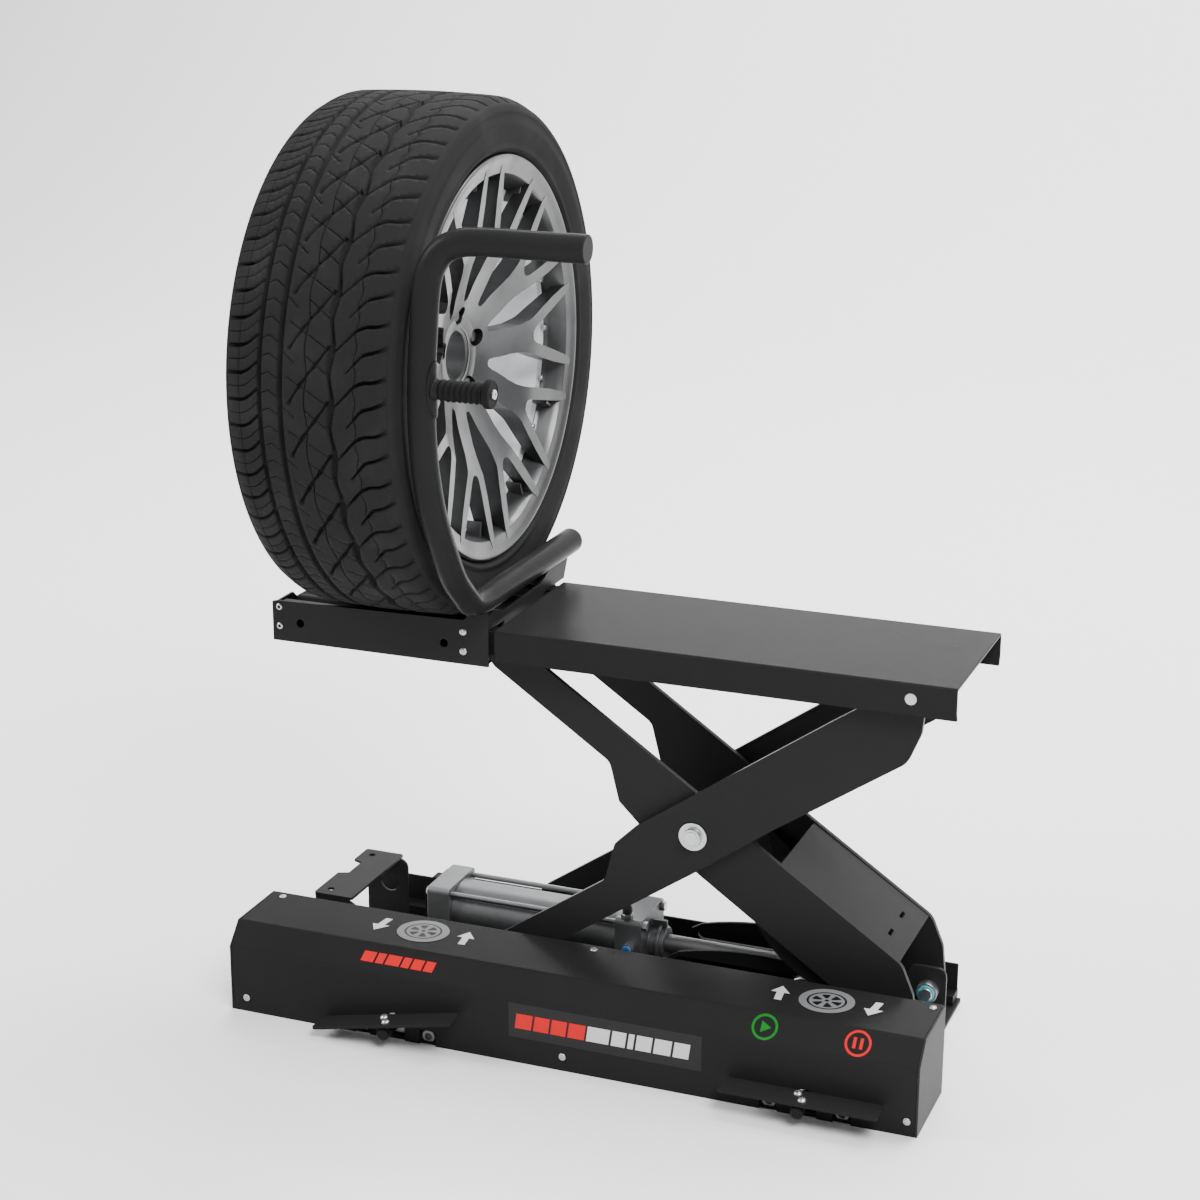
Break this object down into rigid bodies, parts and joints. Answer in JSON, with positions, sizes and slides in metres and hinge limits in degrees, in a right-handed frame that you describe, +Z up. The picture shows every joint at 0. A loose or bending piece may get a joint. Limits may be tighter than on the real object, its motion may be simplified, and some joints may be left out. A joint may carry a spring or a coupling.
{
  "type": "pneumatic wheel lift",
  "caption": "Scissor wheel lift for a wheel balancer: a long base with foot pedals, crossed arms, a flat platform and a sliding cradle with a bent guard that holds a car wheel.",
  "frame": {"origin": "on the floor under the base, below the middle of the scissor and the base's mid-length", "axes": "+X along the base towards the fixed pivots, +Y away from the pedals, +Z up"},
  "size_m": [1, 0.71, 1.271],
  "materials": {
    "black_paint": "gloss black powder coat",
    "frame_paint": "satin black paint",
    "zinc_steel": "bright zinc plate",
    "cylinder_alloy": "anodised and bead blasted",
    "rim_alloy": "silver-grey lacquer",
    "tyre": "moulded tread and sidewall",
    "grip_rubber": "ribbed",
    "nylon": "turned nylon"
  },
  "bodies": {
    "base": {"base_tray": "frame_paint", "back_rail": "frame_paint", "front_cover": "black_paint", "end_cap_left": "black_paint", "end_cap_right": "black_paint", "rest_bracket": "black_paint", "pivot_bracket_front": "black_paint", "pivot_bracket_back": "black_paint", "lower_pivot_front": "zinc_steel", "lower_pivot_back": "zinc_steel", "lower_track_front": "frame_paint", "lower_track_back": "frame_paint", "cylinder_foot": "frame_paint", "cylinder_rear_head": "cylinder_alloy", "cylinder_barrel": "cylinder_alloy", "cylinder_front_head": "cylinder_alloy", "drive_guide_front": "frame_paint", "drive_guide_back": "frame_paint", "pedal_bearing_left": "zinc_steel", "pedal_bearing_right": "zinc_steel"},
    "drive": {"piston_rod": "zinc_steel", "crosshead": "cylinder_alloy"},
    "cam_wheel_front": {"cam_roller_front": "zinc_steel"},
    "cam_wheel_back": {"cam_roller_back": "zinc_steel"},
    "inner_arms": {"inner_arm_front": "black_paint", "inner_arm_back": "black_paint", "inner_web": "black_paint", "cam_block_front": "frame_paint", "cam_block_back": "frame_paint"},
    "outer_arms": {"outer_arm_front": "black_paint", "outer_arm_back": "black_paint", "centre_bolt_front": "zinc_steel", "centre_bolt_back": "zinc_steel", "outer_cross_tube": "frame_paint"},
    "upper_wheel_front": {"upper_roller_front": "nylon"},
    "upper_wheel_back": {"upper_roller_back": "nylon"},
    "lower_wheel_front": {"lower_roller_front": "nylon"},
    "lower_wheel_back": {"lower_roller_back": "nylon"},
    "top": {"platform": "black_paint", "top_pivot_front": "zinc_steel", "top_pivot_back": "zinc_steel", "slide_rail_front": "frame_paint", "slide_rail_back": "frame_paint"},
    "cradle": {"cradle_side_front": "black_paint", "cradle_side_back": "black_paint", "cradle_end_left": "black_paint", "cradle_end_right": "black_paint", "guard_tube": "black_paint", "grip_saddle": "black_paint", "grip": "grip_rubber", "grip_screw": "zinc_steel"},
    "seat_roller_front": {"cradle_roller_front": "black_paint"},
    "seat_roller_back": {"cradle_roller_back": "black_paint"},
    "wheel": {"tyre": "tyre", "rim": "rim_alloy"},
    "left_pedal": {"pedal_left": "black_paint", "pedal_shaft_left": "frame_paint"},
    "right_pedal": {"pedal_right": "black_paint", "pedal_shaft_right": "frame_paint"}
  },
  "joints": [
    {"name": "scissor_lift", "type": "hinge", "parent": "base", "child": "inner_arms", "pos_m": [0.4365, 0, 0.063], "axis": [0, 1, 0], "range_deg": [-31.08, 6]},
    {"name": "centre_pivot", "type": "hinge", "parent": "inner_arms", "child": "outer_arms", "pos_m": [0.13896, 0, 0.30601], "axis": [0, 1, 0], "range_deg": [-12, 62.16]},
    {"name": "top_pivot", "type": "hinge", "parent": "outer_arms", "child": "top", "pos_m": [0.4365, 0, 0.54902], "axis": [0, 1, 0], "range_deg": [-31.08, 6]},
    {"name": "cylinder_stroke", "type": "slide", "parent": "base", "child": "drive", "axis": [1, 0, 0], "range_m": [-0.1747, 0.0338]},
    {"name": "cam_roller_front_spin", "type": "hinge", "parent": "drive", "child": "cam_wheel_front", "pos_m": [0.29, -0.067, 0.092], "axis": [0, 1, 0], "continuous": true},
    {"name": "cam_roller_back_spin", "type": "hinge", "parent": "drive", "child": "cam_wheel_back", "pos_m": [0.29, 0.067, 0.092], "axis": [0, 1, 0], "continuous": true},
    {"name": "upper_roller_front_spin", "type": "hinge", "parent": "inner_arms", "child": "upper_wheel_front", "pos_m": [-0.15857, -0.1, 0.54902], "axis": [0, 1, 0], "continuous": true},
    {"name": "upper_roller_back_spin", "type": "hinge", "parent": "inner_arms", "child": "upper_wheel_back", "pos_m": [-0.15857, 0.1, 0.54902], "axis": [0, 1, 0], "continuous": true},
    {"name": "lower_roller_front_spin", "type": "hinge", "parent": "outer_arms", "child": "lower_wheel_front", "pos_m": [-0.15857, -0.112, 0.063], "axis": [0, 1, 0], "continuous": true},
    {"name": "lower_roller_back_spin", "type": "hinge", "parent": "outer_arms", "child": "lower_wheel_back", "pos_m": [-0.15857, 0.112, 0.063], "axis": [0, 1, 0], "continuous": true},
    {"name": "cradle_slide", "type": "slide", "parent": "top", "child": "cradle", "axis": [-1, 0, 0], "range_m": [0, 0.15]},
    {"name": "seat_roller_front_spin", "type": "hinge", "parent": "cradle", "child": "seat_roller_front", "pos_m": [-0.3155, -0.055, 0.54862], "axis": [1, 0, 0], "continuous": true},
    {"name": "seat_roller_back_spin", "type": "hinge", "parent": "cradle", "child": "seat_roller_back", "pos_m": [-0.3155, 0.055, 0.54862], "axis": [1, 0, 0], "continuous": true},
    {"name": "wheel_lift_off", "type": "slide", "parent": "cradle", "child": "wheel", "axis": [0, 0, 1], "range_m": [0, 0.4]},
    {"name": "left_pedal_rock", "type": "hinge", "parent": "base", "child": "left_pedal", "pos_m": [-0.2435, -0.27, 0.025], "axis": [0, 1, 0], "range_deg": [0, 23.6]},
    {"name": "right_pedal_rock", "type": "hinge", "parent": "base", "child": "right_pedal", "pos_m": [0.349, -0.27, 0.025], "axis": [0, 1, 0], "range_deg": [-11.8, 11.8]}
  ],
  "couplings": [
    {"joint": "centre_pivot", "follows": "scissor_lift", "ratio": -2},
    {"joint": "top_pivot", "follows": "scissor_lift", "ratio": 1},
    {"joint": "cylinder_stroke", "follows": "scissor_lift", "m_per_rad": 0.32202}
  ]
}
